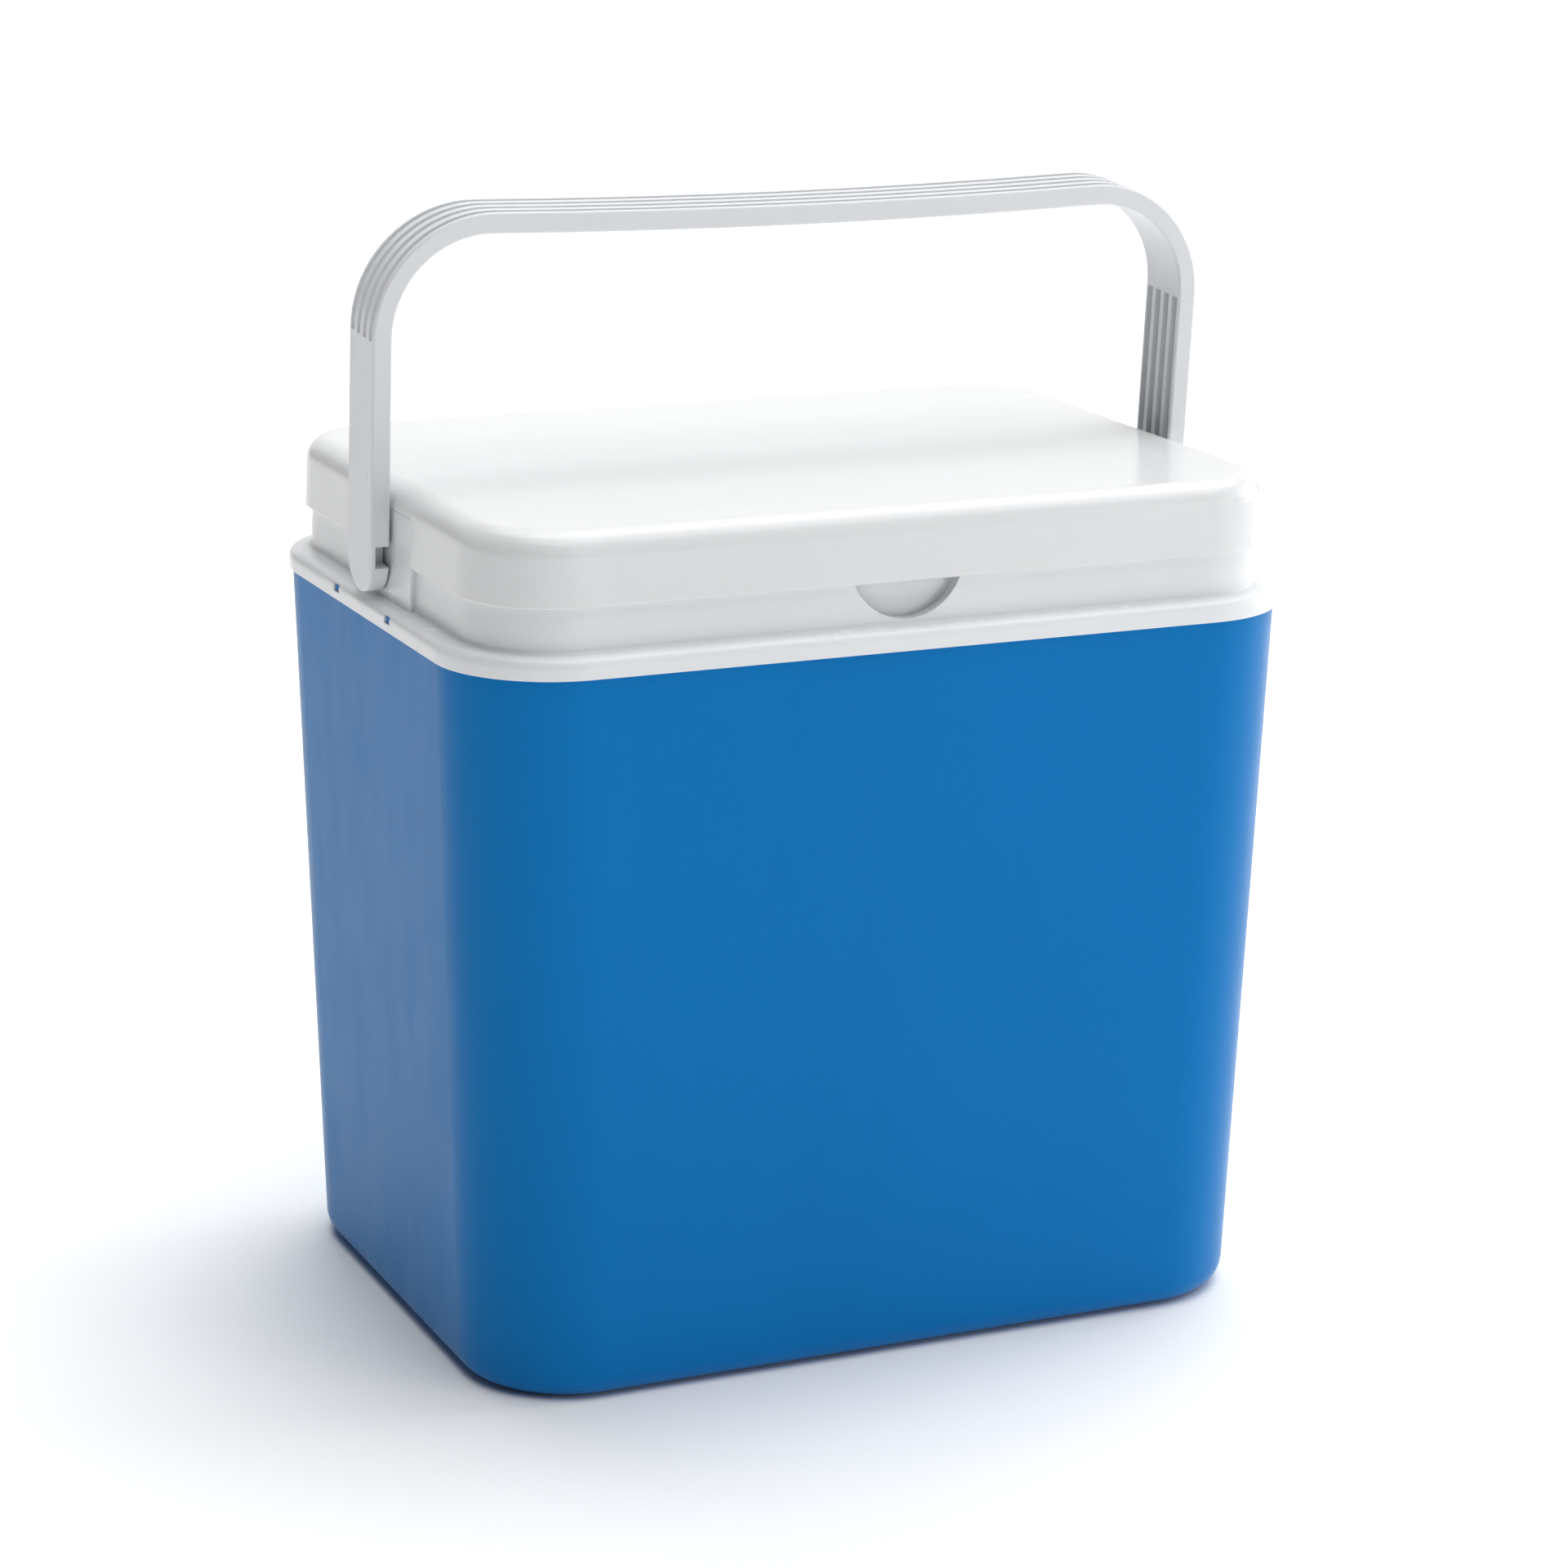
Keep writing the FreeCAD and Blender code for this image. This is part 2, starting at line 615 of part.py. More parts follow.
def make_lid_cap():
    body = new_body("lid_cap")
    loft(
        body, "Additive", "dome",
        ("cap_low_z", cap_half("x", "cap_low_z"), cap_half("y", "cap_low_z"), "cap_low_corner"),
        ("cap_top_z", cap_half("x", "cap_top_z"), cap_half("y", "cap_top_z"), "cap_top_corner"),
    )
    step = "pan_flange_top_z"
    ceiling = "(cap_top_z - cap_wall)"
    loft(
        body, "Subtractive", "upper_cavity",
        (step, cap_half("x", step, "cap_step_wall"), cap_half("y", step, "cap_step_wall"),
         "cap_low_corner - cap_step_wall"),
        (ceiling, cap_half("x", ceiling, "cap_step_wall"), cap_half("y", ceiling, "cap_step_wall"),
         "cap_low_corner - cap_step_wall"),
    )
    cavity = loft(
        body, "Subtractive", "lower_cavity",
        ("cap_low_z", cap_half("x", "cap_low_z", "cap_wall"), cap_half("y", "cap_low_z", "cap_wall"),
         "cap_low_corner - cap_wall"),
        (step, cap_half("x", step, "cap_wall"), cap_half("y", step, "cap_wall"),
         "cap_low_corner - cap_wall"),
    )
    dome = fillet(body, "dome_round", cavity, edges_where(cavity.Shape, flat_at("cap_top_z")), "cap_round")
    domed = fillet(body, "ceiling_round", dome, edges_where(dome.Shape, flat_at(ceiling)),
                   "cap_ceiling_round", "Additive")
    hollow = inside("cap_low_half_x - cap_wall", "cap_low_half_y - cap_wall")
    lip = both(flat_at("cap_low_z"), outside(hollow))
    fillet(body, "cap_lip_round_edge", domed, edges_where(domed.Shape, lip), "cap_lip_round")
    notch_outline = new_sketch(body, "pad_notch_outline", "YZ_Plane", "cap_top_half_x - 2 * cap_wall")
    add_box(
        notch_outline, "-(pad_half_width + notch_gap)", "pad_half_width + notch_gap",
        "cap_low_z - cap_wall", "pad_top_z + notch_gap",
    )
    notch = extrude(body, "Pocket", "pad_notch", notch_outline, "4 * cap_wall", reverse=True)
    mirror(body, "pad_notch_mirrored", notch, "Subtractive")
    return body


def plug_half(axis, level, inset="0"):
    size = between(f"plug_low_half_{axis}", f"plug_top_half_{axis}", "plug_low_z", "pan_flange_low_z",
                   level)
    return f"({size} - {inset})"


def make_lid_pan():
    body = new_body("lid_pan")
    flange = level_outline(body, "flange_outline", "pan_flange_low_z", "pan_flange_half_x",
                           "pan_flange_half_y", "cap_low_corner - cap_wall")
    extrude(body, "Pad", "flange", flange, "pan_flange_top_z - pan_flange_low_z")
    plug = loft(
        body, "Additive", "plug",
        ("plug_low_z", plug_half("x", "plug_low_z"), plug_half("y", "plug_low_z"), "plug_corner"),
        ("pan_flange_low_z", plug_half("x", "pan_flange_low_z"), plug_half("y", "pan_flange_low_z"),
         "plug_corner"),
    )
    fillet(body, "plug_round", plug, edges_where(plug.Shape, flat_at("plug_low_z")), "plug_round")
    floor, top = "(plug_low_z + pan_wall)", "pan_flange_top_z"
    loft(
        body, "Subtractive", "plug_cavity",
        (floor, plug_half("x", floor, "pan_wall"), plug_half("y", floor, "pan_wall"),
         "plug_corner - pan_wall"),
        (top, plug_half("x", top, "pan_wall"), plug_half("y", top, "pan_wall"), "plug_corner - pan_wall"),
    )
    return body


def make_lid_foam():
    body = new_body("lid_insulation")
    low, middle = "(plug_low_z + pan_wall + foam_gap)", "(pan_flange_top_z + foam_gap)"
    inset = "(pan_wall + foam_gap)"
    loft(
        body, "Additive", "plug_block",
        (low, plug_half("x", low, inset), plug_half("y", low, inset), f"plug_corner - {inset}"),
        (middle, plug_half("x", middle, inset), plug_half("y", middle, inset), f"plug_corner - {inset}"),
    )
    slab_outline = level_outline(body, "slab_outline", middle, "lid_foam_half_x", "lid_foam_half_y",
                                 "lid_foam_corner")
    slab = extrude(body, "Pad", "cap_slab", slab_outline, f"lid_foam_top_z - {middle}")
    fillet(body, "slab_round", slab, edges_where(slab.Shape, flat_at("lid_foam_top_z")), "lid_foam_round")
    return body


def make_lid_seal():
    body = new_body("lid_seal")
    ring = new_sketch(body, "seal_outline", "XY_Plane", "seal_low_z")
    add_rounded_rectangle(ring, "seal_half_x", "seal_half_y", "neck_low_corner - liner_wall", "_outer")
    add_rounded_rectangle(ring, "seal_half_x - seal_width", "seal_half_y - seal_width",
                          "neck_low_corner - liner_wall - seal_width", "_inner")
    extrude(body, "Pad", "seal_ring", ring, "pan_flange_low_z - seal_low_z")
    return body


# ---- handle and pins -------------------------------------------------------------------

def add_bow(sketch, arm_x, bend_radius, bar_z, inward, name):
    """The bend, crossbar and bend of the handle, moved inward from its outer or inner face.

    The crossbar sags: its long arc is centred far above, and each bend meets it and the arm
    smoothly. Returns the left bend and its foot, and the right bend and its foot.
    """
    arm = f"({arm_x} - {inward})"
    bend = f"({bend_radius} - {inward})"
    sag = f"(crossbar_sag_radius + {inward})"
    sag_centre = f"({bar_z} + crossbar_sag_radius)"
    centre_x = value(f"{arm} - {bend}")
    height = value(f"sqrt(({sag} + {bend}) ^ 2 - ({arm} - {bend}) ^ 2)")
    centre_z = value(sag_centre) - height
    share = value(bend) / value(f"{sag} + {bend}")
    meet = FreeCAD.Vector(centre_x * (1 - share), centre_z + height * share, 0)
    middle = FreeCAD.Vector(0, value(sag_centre) - value(sag), 0)
    diagonal = value(bend) / 2 ** 0.5
    bends, feet, tops = [], [], []
    for side in (-1, 1):
        foot = FreeCAD.Vector(side * value(arm), centre_z, 0)
        shoulder = FreeCAD.Vector(side * (centre_x + diagonal), centre_z + diagonal, 0)
        top = FreeCAD.Vector(side * meet.x, meet.y, 0)
        arc = sketch.addGeometry(Part.Arc(foot, shoulder, top), False)
        to_start, to_end = [(sketch.getPoint(arc, end) - foot).Length for end in (START, END)]
        foot_is_start = to_start < to_end
        bends.append(arc)
        feet.append(START if foot_is_start else END)
        tops.append(END if foot_is_start else START)
    left_top = FreeCAD.Vector(-meet.x, meet.y, 0)
    bar = sketch.addGeometry(Part.Arc(left_top, middle, meet), False)
    bar_left = START if sketch.getPoint(bar, START).x < 0 else END
    bar_right = END if bar_left == START else START
    sketch.addConstraint(Sketcher.Constraint("Tangent", bends[0], tops[0], bar, bar_left))
    sketch.addConstraint(Sketcher.Constraint("Tangent", bar, bar_right, bends[1], tops[1]))
    sketch.addConstraint(Sketcher.Constraint("PointOnObject", bar, CENTRE, VERTICAL_AXIS))
    bind(sketch, "DistanceY", ORIGIN + (bar, CENTRE), sag_centre, f"{name}_sag_centre")
    bind(sketch, "Radius", (bar,), sag, f"{name}_sag")
    bind(sketch, "Radius", (bends[0],), bend, f"{name}_bend")
    sketch.addConstraint(Sketcher.Constraint("Equal", bends[0], bends[1]))
    bind(sketch, "DistanceX", (bends[0], CENTRE) + ORIGIN, f"{arm} - {bend}", f"{name}_left")
    bind(sketch, "DistanceX", ORIGIN + (bends[1], CENTRE), f"{arm} - {bend}", f"{name}_right")
    return (bends[0], feet[0]), (bends[1], feet[1])


def join_by_line(sketch, start, end, direction):
    """A straight line between the ends of two other lines or arcs."""
    points = [sketch.getPoint(*item) for item in (start, end)]
    line = sketch.addGeometry(Part.LineSegment(*points), False)
    sketch.addConstraint(Sketcher.Constraint("Coincident", *start, line, START))
    sketch.addConstraint(Sketcher.Constraint("Coincident", line, END, *end))
    if direction:
        sketch.addConstraint(Sketcher.Constraint(direction, line))
    return line


def add_arm_line(sketch, foot, name):
    """The straight face of an arm, from a bend's foot down to the arm's end."""
    top = sketch.getPoint(*foot)
    low = FreeCAD.Vector(top.x, value("pivot_z - strap_half_width"), 0)
    line = sketch.addGeometry(Part.LineSegment(top, low), False)
    sketch.addConstraint(Sketcher.Constraint("Tangent", *foot, line, START))
    sketch.addConstraint(Sketcher.Constraint("Vertical", line))
    bind(sketch, "DistanceY", ORIGIN + (line, END), "pivot_z - strap_half_width", name)
    return line


def make_handle():
    body = new_body("handle")
    outline = new_sketch(body, "strap_outline", "XZ_Plane")
    outer = add_bow(outline, "arm_outer_x", "bend_outer_radius", "crossbar_top_z", "0", "outer")
    inner = add_bow(outline, "arm_inner_x", "bend_inner_radius", "crossbar_low_z", "0", "inner")
    for side in (0, 1):
        outer_line = add_arm_line(outline, outer[side], f"outer_end_{side}")
        inner_line = add_arm_line(outline, inner[side], f"inner_end_{side}")
        join_by_line(outline, (outer_line, END), (inner_line, END), None)
    strap = extrude(body, "Pad", "strap", outline, "2 * strap_half_width", midplane=True)
    end_z = value("pivot_z - strap_half_width")
    edge_y = value("strap_half_width")

    def across_end(box):
        return box.ZMax < end_z + LEVEL_TOLERANCE and box.YLength < LEVEL_TOLERANCE

    ends = fillet(body, "round_ends", strap, edges_where(strap.Shape, across_end),
                  "strap_half_width - strap_end_flat")

    def along_strap(box):
        return box.YLength < LEVEL_TOLERANCE and abs(abs(box.YMax) - edge_y) < LEVEL_TOLERANCE

    fillet(body, "strap_edges", ends, edges_where(ends.Shape, along_strap), "strap_edge_round")
    first_flute = "(flute_count - 1) * flute_pitch / 2"
    row = "(flute_count - 1) * flute_pitch"
    grip = new_sketch(body, "grip_flute_outline", "XZ_Plane", first_flute)
    above = add_bow(grip, "arm_outer_x", "bend_outer_radius", "crossbar_top_z", "-cut_margin", "above")
    below = add_bow(grip, "arm_outer_x", "bend_outer_radius", "crossbar_top_z", "grip_flute_depth", "below")
    for side in (0, 1):
        join_by_line(grip, above[side], below[side], None)
    grip_flute = extrude(body, "Pocket", "grip_flute", grip, "grip_flute_width", midplane=True)
    pattern(body, "grip_flutes", grip_flute, "Subtractive", "Y_Axis", row, "flute_count")
    arms = new_sketch(body, "arm_flute_outline", "XZ_Plane", first_flute)
    for side, name in (("-", "left"), ("", "right")):
        add_box(arms, f"{side}(arm_inner_x - cut_margin)", f"{side}(arm_inner_x + arm_flute_depth)",
                "arm_flute_low_z", "arm_flute_top_z", name)
    arm_flute = extrude(body, "Pocket", "arm_flute", arms, "arm_flute_width", midplane=True)
    pattern(body, "arm_flutes", arm_flute, "Subtractive", "Y_Axis", row, "flute_count")
    notch = new_sketch(body, "hub_notch_outline", "XZ_Plane", "hub_half_width")
    for side, name in (("-", "left"), ("", "right")):
        add_box(notch, f"{side}(arm_inner_x - cut_margin)", f"{side}(arm_inner_x + hub_notch_depth)",
                "hub_notch_z - hub_notch_half_height", "hub_notch_z + hub_notch_half_height", name)
    hub_notch = extrude(body, "Pocket", "hub_notch", notch, "strap_half_width", reverse=True)
    mirror(body, "hub_notch_mirrored", hub_notch, "Subtractive", "XZ_Plane")
    bore_outline = new_sketch(body, "pin_bore_outline", "YZ_Plane", "arm_inner_x + pin_bore_depth")
    add_circle(bore_outline, "0", "pivot_z", "pin_bore_radius")
    bore = extrude(body, "Pocket", "pin_bore", bore_outline, "pin_bore_depth + cut_margin")
    mirror(body, "pin_bore_mirrored", bore, "Subtractive")
    tilt(body)
    return body


def tilt(body):
    """Leans a body to the front about the pivot pins."""
    body.Placement = FreeCAD.Placement(FreeCAD.Vector(), FreeCAD.Rotation(FreeCAD.Vector(1, 0, 0), 0))
    body.setExpression("Placement.Rotation.Axis.x", "1")
    body.setExpression("Placement.Rotation.Angle", bound("handle_tilt"))
    body.setExpression("Placement.Base.y", bound("pivot_z * sin(handle_tilt)"))
    body.setExpression("Placement.Base.z", bound("pivot_z * (1 - cos(handle_tilt))"))


def make_pivot_pin(label, side):
    """A headed pin: the head stays inside the neck, and the shank carries one arm."""
    body = new_body(label)
    profile = new_sketch(body, f"{label}_profile", "XZ_Plane")
    corners = [
        (f"{side}pin_head_inner_x", "pivot_z"),
        (f"{side}pin_head_inner_x", "pivot_z + pin_head_radius"),
        (f"{side}pin_head_outer_x", "pivot_z + pin_head_radius"),
        (f"{side}pin_head_outer_x", "pivot_z + pin_radius"),
        (f"{side}(pin_tip_x - pin_chamfer)", "pivot_z + pin_radius"),
        (f"{side}pin_tip_x", "pivot_z + pin_radius - pin_chamfer"),
        (f"{side}pin_tip_x", "pivot_z"),
    ]
    add_polygon(profile, corners)
    turned = body.newObject("PartDesign::Revolution", f"{label}_turned")
    turned.Profile = profile
    # the last line of the profile, which closes it, lies along the pin's axis
    turned.ReferenceAxis = (profile, [f"Edge{len(corners)}"])
    turned.Angle = FULL_TURN
    changed(body, turned, "Additive")
    return body


# ---- the assembly ----------------------------------------------------------------------

sub_parts = [make_outer_shell(), make_inner_liner(), make_floor_board()]
sub_parts += make_side_boards()
sub_parts += [make_lid_cap(), make_lid_pan(), make_lid_foam(), make_lid_seal()]
sub_parts += [make_handle(), make_pivot_pin("pivot_pin_left", "-"), make_pivot_pin("pivot_pin_right", "")]
doc.recompute()

for item in doc.Objects:
    if "Invalid" in item.State or "Error" in item.State:
        raise RuntimeError(f"{item.Label} failed: {item.State}")
for item in sub_parts:
    if item.Shape.isNull() or not item.Shape.isValid():
        raise RuntimeError(f"{item.Label} has no valid shape")

os.makedirs("parts", exist_ok=True)
for item in sub_parts:
    item.Shape.exportStep(f"parts/{item.Label}.step")
    box = item.Shape.BoundBox
    print(f"{item.Label}: {len(item.Shape.Solids)} solid, {item.Shape.Volume / MM3_PER_CM3:.1f} cm3, "
          f"z {box.ZMin:.2f} to {box.ZMax:.2f}, {box.XLength:.1f} x {box.YLength:.1f}")
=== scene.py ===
import json
import math

import bpy
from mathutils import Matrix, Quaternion, Vector


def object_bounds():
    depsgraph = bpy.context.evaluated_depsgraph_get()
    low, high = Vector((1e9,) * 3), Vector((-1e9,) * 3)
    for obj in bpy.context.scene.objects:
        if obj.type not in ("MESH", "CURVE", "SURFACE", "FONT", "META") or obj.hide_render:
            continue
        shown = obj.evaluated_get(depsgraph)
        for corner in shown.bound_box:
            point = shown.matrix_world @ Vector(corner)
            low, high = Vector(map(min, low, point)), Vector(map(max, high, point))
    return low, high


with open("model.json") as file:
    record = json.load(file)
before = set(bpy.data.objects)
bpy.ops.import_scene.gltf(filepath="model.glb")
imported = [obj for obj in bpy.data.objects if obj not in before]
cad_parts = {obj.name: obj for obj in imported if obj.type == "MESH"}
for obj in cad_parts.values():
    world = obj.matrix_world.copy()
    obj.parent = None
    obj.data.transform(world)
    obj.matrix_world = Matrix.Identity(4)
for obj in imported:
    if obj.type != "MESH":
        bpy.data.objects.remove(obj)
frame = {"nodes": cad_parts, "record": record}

cad_low, cad_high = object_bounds()
NODES = frame["nodes"]

# The camera stands to the left of the front and a little above it.
CAMERA_AZIMUTH = math.radians(-24.35)
CAMERA_ELEVATION = math.radians(15.17)
CAMERA_ROLL = math.radians(0.756)
CAMERA_DISTANCE = 1.999
CAMERA_SENSOR = 36.0
CAMERA_LENS = 98.8
AIM_SIDE_SHARE = 0.0145
AIM_HEIGHT_SHARE = 0.4524
CAMERA_SHIFT_X = -0.0013
CLIP_NEAR = 0.05
CLIP_FAR = 100.0

FLOOR_SIZE = 60.0
WORLD_STRENGTH = 0.07
# name, direction towards the light, strength, how wide the light is in degrees
SUNS = [
    ("front_top_light", (0.12, -0.16, 1.0), 1.80, 60.0),
    ("back_top_light", (0.30, 0.45, 1.0), 1.75, 60.0),
]
# name, position, point it faces, width, height, power
SOFTBOXES = [
    ("front_right_softbox", (2.00, -2.30, 0.80), (0.0, 0.0, 0.28), 1.3, 1.3, 13.0),
    ("right_softbox", (2.10, -0.10, 0.80), (0.0, 0.0, 0.28), 1.5, 1.3, 15.0),
    ("back_softbox", (1.10, 2.70, 1.15), (0.0, 0.0, 0.35), 4.4, 1.5, 16.0),
]

WHITE_LIGHT = (1.0, 1.0, 1.0, 1.0)

# Colours are linear red, green and blue. Grain counts features per metre, depths are in metres, and
# flow stretches the slow variations along an axis where it is below 1.
PLASTICS = {
    "shell": dict(name="blue_shell_plastic", color=(0.002, 0.184, 0.515), roughness=0.34, specular=0.06,
                  tone=0.03, grain=1100.0, flow=(1.0, 1.0, 0.35), sheen=0.15),
    "liner": dict(name="white_liner_plastic", color=(0.83, 0.845, 0.86), roughness=0.24, specular=0.4),
    "lid": dict(name="white_lid_plastic", color=(0.80, 0.81, 0.82), roughness=0.18, specular=0.4,
                tone=0.012, ripple_depth=0.00008),
    "handle": dict(name="white_handle_plastic", color=(0.775, 0.79, 0.81), roughness=0.32, specular=0.2,
                   grain=1300.0, grain_depth=0.00001, flow=(0.4, 1.0, 1.0)),
    "pin": dict(name="grey_pin_plastic", color=(0.45, 0.46, 0.48), roughness=0.42, specular=0.35,
                tone=0.04),
}
CLOUD_SCALE = 9.0
CLOUD_DETAIL = 4.0
GLOSS_SCALE = 60.0
GLOSS_DETAIL = 5.0
GLOSS_SPREAD = 0.15
RIPPLE_SCALE = 22.0
SOFT_DETAIL = 2.0
SHEEN_ROUGHNESS = 0.4
SHEEN_TINT = (1.0, 1.0, 0.7)

FOAM_COLOR = (0.86, 0.86, 0.85)
FOAM_SPECULAR = 0.3
BEAD_SCALE = 320.0
BEAD_DEPTH = -0.0008
BEAD_STRENGTH = 0.8
SEAM_WIDTH = 0.12
SEAM_SHADE = 0.82
FOAM_GLOSS_SCALE = 200.0
FOAM_ROUGHNESS = (0.75, 0.95)

SEAL_COLOR = (0.55, 0.56, 0.58)
SEAL_SPECULAR = 0.25
SEAL_CLOUD_SCALE = 35.0
SEAL_TONE = 0.07
SEAL_GLOSS_SCALE = 120.0
SEAL_ROUGHNESS = (0.6, 0.8)
SEAL_PIT_SCALE = 700.0
SEAL_PIT_DEPTH = 0.00008

FLOOR_COLORS = ((0.955, 0.955, 0.955), (0.97, 0.97, 0.97))
FLOOR_SPECULAR = 0.05
FLOOR_CLOUD_SCALE = 3.0
FLOOR_GLOSS_SCALE = 40.0
FLOOR_ROUGHNESS = (0.85, 0.95)
FLOOR_GRAIN_SCALE = 400.0
FLOOR_GRAIN_STRENGTH = 0.2
FLOOR_GRAIN_DEPTH = 0.00005


# ---- camera and lights ----------------------------------------------------------

def make_camera():
    data = bpy.data.cameras.new("camera")
    data.lens = CAMERA_LENS
    data.sensor_width = CAMERA_SENSOR
    data.shift_x = CAMERA_SHIFT_X
    data.clip_start = CLIP_NEAR
    data.clip_end = CLIP_FAR
    camera = bpy.data.objects.new("camera", data)
    bpy.context.scene.collection.objects.link(camera)
    size = cad_high - cad_low
    middle = (cad_low + cad_high) / 2
    target = Vector((middle.x + AIM_SIDE_SHARE * size.x, 0.0, cad_low.z + AIM_HEIGHT_SHARE * size.z))
    back = Vector((
        math.sin(CAMERA_AZIMUTH) * math.cos(CAMERA_ELEVATION),
        -math.cos(CAMERA_AZIMUTH) * math.cos(CAMERA_ELEVATION),
        math.sin(CAMERA_ELEVATION),
    ))
    camera.location = target + back * CAMERA_DISTANCE
    camera.rotation_mode = "QUATERNION"
    roll = Quaternion((0, 0, 1), CAMERA_ROLL)
    camera.rotation_quaternion = (-back).to_track_quat("-Z", "Y") @ roll
    bpy.context.scene.camera = camera


def make_sun(name, direction, strength, width_degrees):
    data = bpy.data.lights.new(name, "SUN")
    data.energy = strength
    data.angle = math.radians(width_degrees)
    light = bpy.data.objects.new(name, data)
    light.rotation_euler = (-Vector(direction)).to_track_quat("-Z", "Y").to_euler()
    bpy.context.scene.collection.objects.link(light)


def make_softbox(name, position, aim, width, height, power):
    data = bpy.data.lights.new(name, "AREA")
    data.shape = "RECTANGLE"
    data.size = width
    data.size_y = height
    data.energy = power
    light = bpy.data.objects.new(name, data)
    light.location = position
    light.rotation_euler = (Vector(aim) - Vector(position)).to_track_quat("-Z", "Y").to_euler()
    bpy.context.scene.collection.objects.link(light)


def make_lights():
    world = bpy.data.worlds.new("studio")
    world.use_nodes = True
    background = world.node_tree.nodes["Background"]
    background.inputs["Color"].default_value = WHITE_LIGHT
    background.inputs["Strength"].default_value = WORLD_STRENGTH
    scene = bpy.context.scene
    scene.world = world
    scene.view_settings.view_transform = "Standard"
    for sun in SUNS:
        make_sun(*sun)
    for softbox in SOFTBOXES:
        make_softbox(*softbox)


# ---- materials and floor -------------------------------------------------------------------------

class Nodes:
    """A small helper that adds shader nodes to one material and joins them."""

    def __init__(self, name):
        self.material = bpy.data.materials.new(name)
        self.material.use_nodes = True
        self.tree = self.material.node_tree
        self.shader = self.tree.nodes["Principled BSDF"]
        self.place = self.add("ShaderNodeTexCoord").outputs["Object"]

    def add(self, kind, **settings):
        node = self.tree.nodes.new(kind)
        for key, setting in settings.items():
            setattr(node, key, setting)
        return node

    def join(self, source, target):
        self.tree.links.new(source, target)

    def noise(self, scale, detail=3.0, stretch=(1.0, 1.0, 1.0)):
        """Noise in object space; scale counts features per metre."""
        mapping = self.add("ShaderNodeMapping")
        mapping.inputs["Scale"].default_value = stretch
        self.join(self.place, mapping.inputs["Vector"])
        node = self.add("ShaderNodeTexNoise")
        node.inputs["Scale"].default_value = scale
        node.inputs["Detail"].default_value = detail
        self.join(mapping.outputs["Vector"], node.inputs["Vector"])
        return node.outputs["Fac"]

    def cells(self, scale, feature="F1"):
        node = self.add("ShaderNodeTexVoronoi", feature=feature)
        node.inputs["Scale"].default_value = scale
        self.join(self.place, node.inputs["Vector"])
        return node.outputs["Distance"]

    def ranged(self, source, low, high, from_low=0.3, from_high=0.7):
        node = self.add("ShaderNodeMapRange")
        node.inputs["From Min"].default_value = from_low
        node.inputs["From Max"].default_value = from_high
        node.inputs["To Min"].default_value = low
        node.inputs["To Max"].default_value = high
        self.join(source, node.inputs["Value"])
        return node.outputs["Result"]

    def blend(self, share, first, second):
        """A colour that runs from first to second as share goes from 0 to 1."""
        node = self.add("ShaderNodeMix", data_type="RGBA")
        ends = {"A": first, "B": second}
        for socket in node.inputs:
            if socket.type == "RGBA":
                socket.default_value = (*ends[socket.name], 1.0)
        self.join(share, node.inputs["Factor"])
        return next(item for item in node.outputs if item.type == "RGBA")

    def bump(self, height, strength, distance, under=None):
        node = self.add("ShaderNodeBump")
        node.inputs["Strength"].default_value = strength
        node.inputs["Distance"].default_value = distance
        self.join(height, node.inputs["Height"])
        if under is not None:
            self.join(under, node.inputs["Normal"])
        return node.outputs["Normal"]

    def finish(self, color, roughness, normal, specular, sheen=0.0):
        self.join(color, self.shader.inputs["Base Color"])
        self.join(roughness, self.shader.inputs["Roughness"])
        self.join(normal, self.shader.inputs["Normal"])
        self.shader.inputs["Specular IOR Level"].default_value = specular
        self.shader.inputs["Sheen Weight"].default_value = sheen
        self.shader.inputs["Sheen Roughness"].default_value = SHEEN_ROUGHNESS
        self.shader.inputs["Sheen Tint"].default_value = (*SHEEN_TINT, 1.0)
        return self.material


def scaled(color, factor):
    return tuple(min(1.0, part * factor) for part in color)


def moulded_plastic(name, color, roughness, specular, tone=0.02, grain=900.0, grain_depth=0.00003,
                    ripple_depth=0.00012, flow=(1.0, 1.0, 1.0), sheen=0.0):
    """Moulded polypropylene: a faint cloudy tone, fine mould grain and a slow waviness."""
    build = Nodes(name)
    cloud = build.ranged(build.noise(CLOUD_SCALE, CLOUD_DETAIL, flow), 0.0, 1.0)
    tinted = build.blend(cloud, scaled(color, 1.0 - tone), scaled(color, 1.0 + tone))
    gloss = build.noise(GLOSS_SCALE, GLOSS_DETAIL, flow)
    rough = build.ranged(gloss, roughness * (1.0 - GLOSS_SPREAD), roughness * (1.0 + GLOSS_SPREAD))
    wavy = build.bump(build.noise(RIPPLE_SCALE, SOFT_DETAIL, flow), 1.0, ripple_depth)
    grainy = build.bump(build.noise(grain, SOFT_DETAIL), 1.0, grain_depth, wavy)
    return build.finish(tinted, rough, grainy, specular, sheen)


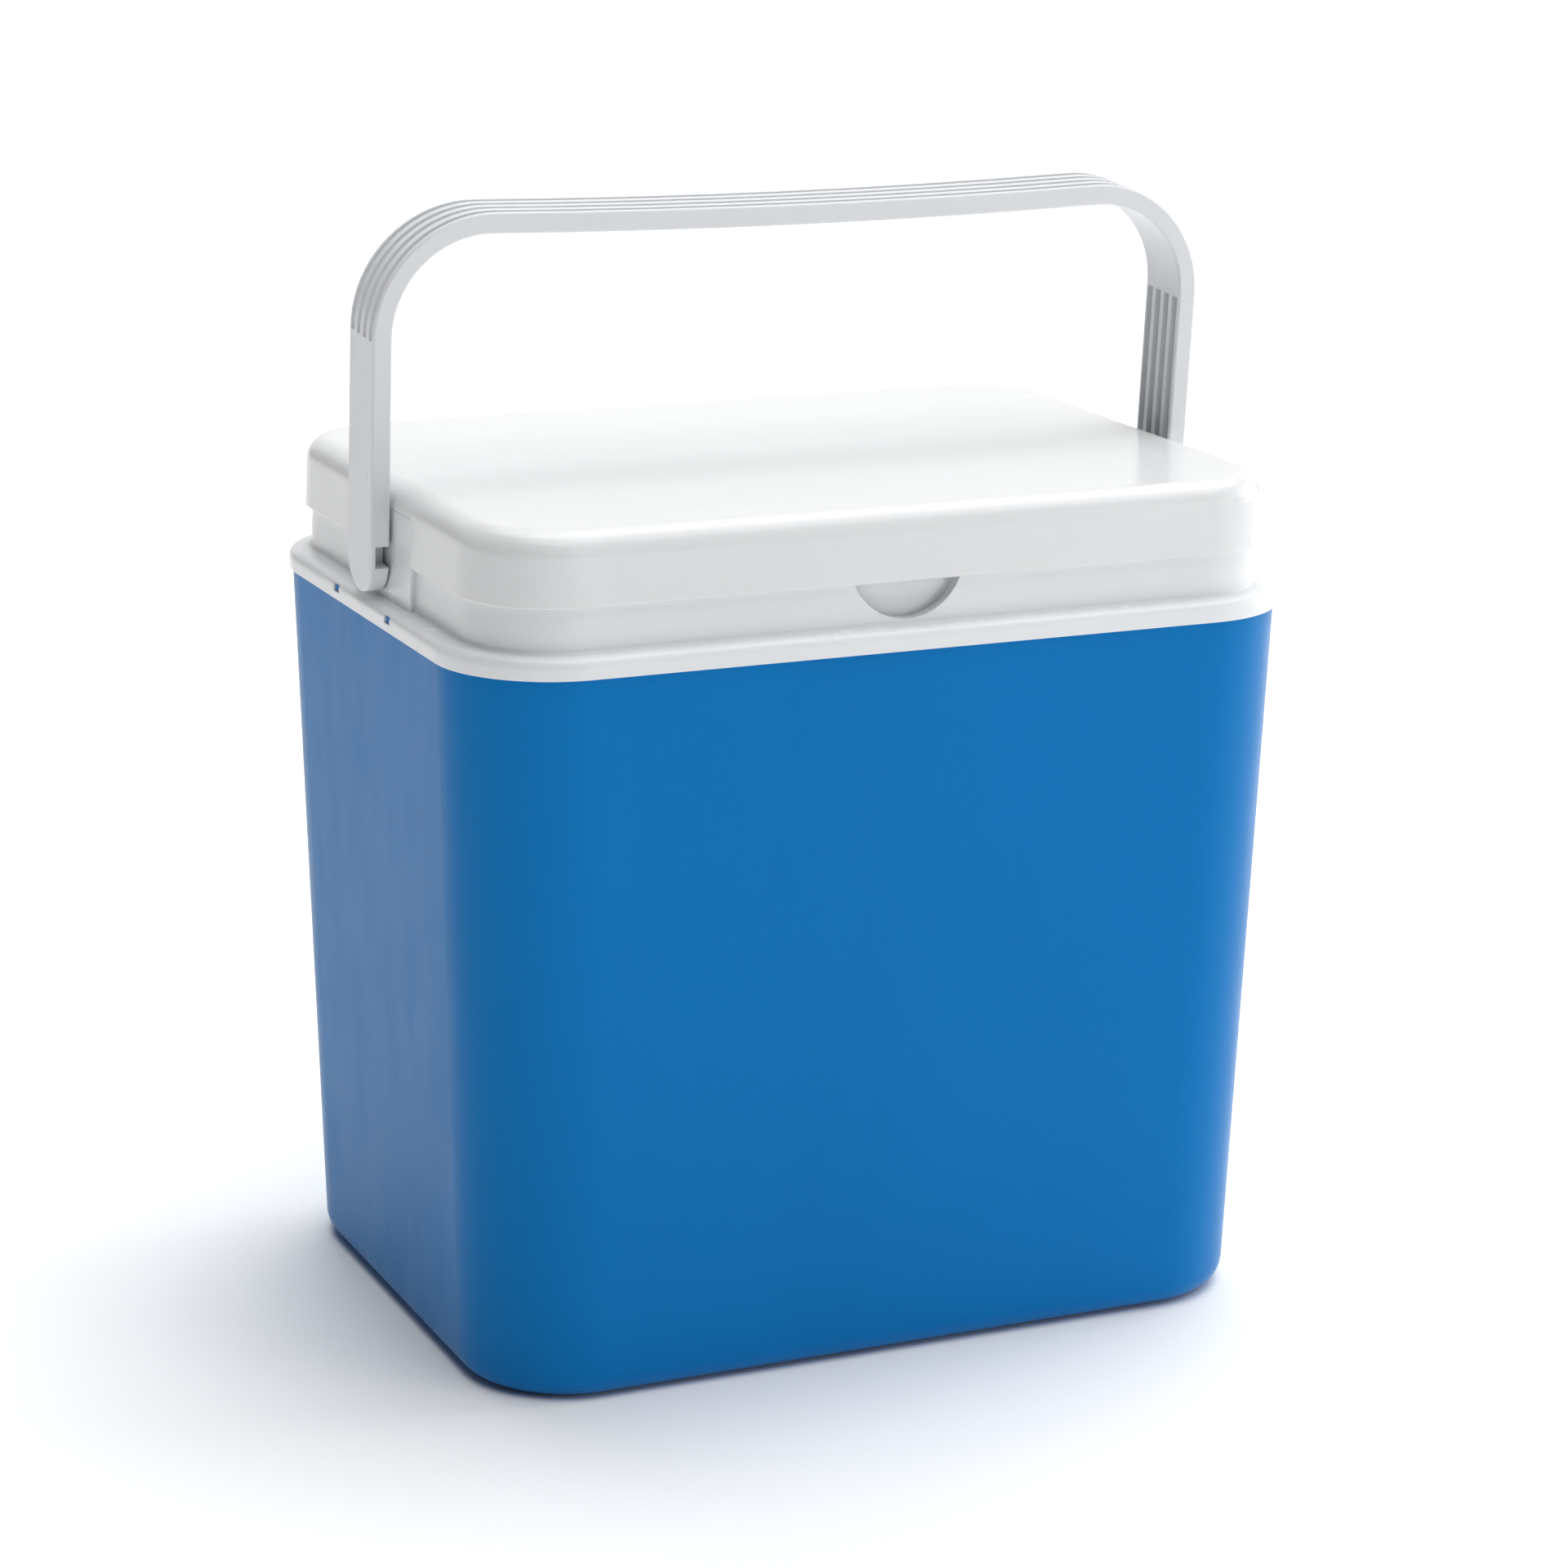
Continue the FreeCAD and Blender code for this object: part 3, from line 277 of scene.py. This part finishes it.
def bead_foam():
    """Expanded foam: closed beads a few millimetres across, with dark seams between them."""
    build = Nodes("white_bead_foam")
    seams = build.cells(BEAD_SCALE, "DISTANCE_TO_EDGE")
    shade = build.ranged(seams, 0.0, 1.0, 0.0, SEAM_WIDTH)
    tinted = build.blend(shade, scaled(FOAM_COLOR, SEAM_SHADE), FOAM_COLOR)
    rough = build.ranged(build.noise(FOAM_GLOSS_SCALE), *FOAM_ROUGHNESS)
    lumpy = build.bump(build.cells(BEAD_SCALE), BEAD_STRENGTH, BEAD_DEPTH)
    return build.finish(tinted, rough, lumpy, FOAM_SPECULAR)


def seal_rubber():
    """Soft rubber: a cloudy grey with fine pits."""
    build = Nodes("grey_seal_rubber")
    cloud = build.ranged(build.noise(SEAL_CLOUD_SCALE, CLOUD_DETAIL), 0.0, 1.0)
    tinted = build.blend(cloud, scaled(SEAL_COLOR, 1.0 - SEAL_TONE), scaled(SEAL_COLOR, 1.0 + SEAL_TONE))
    rough = build.ranged(build.noise(SEAL_GLOSS_SCALE, CLOUD_DETAIL), *SEAL_ROUGHNESS)
    pitted = build.bump(build.noise(SEAL_PIT_SCALE), 1.0, SEAL_PIT_DEPTH)
    return build.finish(tinted, rough, pitted, SEAL_SPECULAR)


def make_materials():
    by_slot = {slot: moulded_plastic(**look) for slot, look in PLASTICS.items()}
    by_slot["foam"] = bead_foam()
    by_slot["seal"] = seal_rubber()
    for part in frame["record"]["subparts"]:
        mesh = NODES[part["node"]].data
        mesh.materials.clear()
        mesh.materials.append(by_slot[part["material_slot"]])


def make_floor():
    bpy.ops.mesh.primitive_plane_add(size=FLOOR_SIZE, location=(0, 0, cad_low.z))
    floor = bpy.context.object
    floor.name = "floor"
    build = Nodes("floor_white")
    cloud = build.ranged(build.noise(FLOOR_CLOUD_SCALE), 0.0, 1.0)
    paper = build.blend(cloud, *FLOOR_COLORS)
    rough = build.ranged(build.noise(FLOOR_GLOSS_SCALE), *FLOOR_ROUGHNESS)
    flat = build.bump(build.noise(FLOOR_GRAIN_SCALE), FLOOR_GRAIN_STRENGTH, FLOOR_GRAIN_DEPTH)
    floor.data.materials.append(build.finish(paper, rough, flat, FLOOR_SPECULAR))


make_camera()
make_floor()
make_lights()
make_materials()
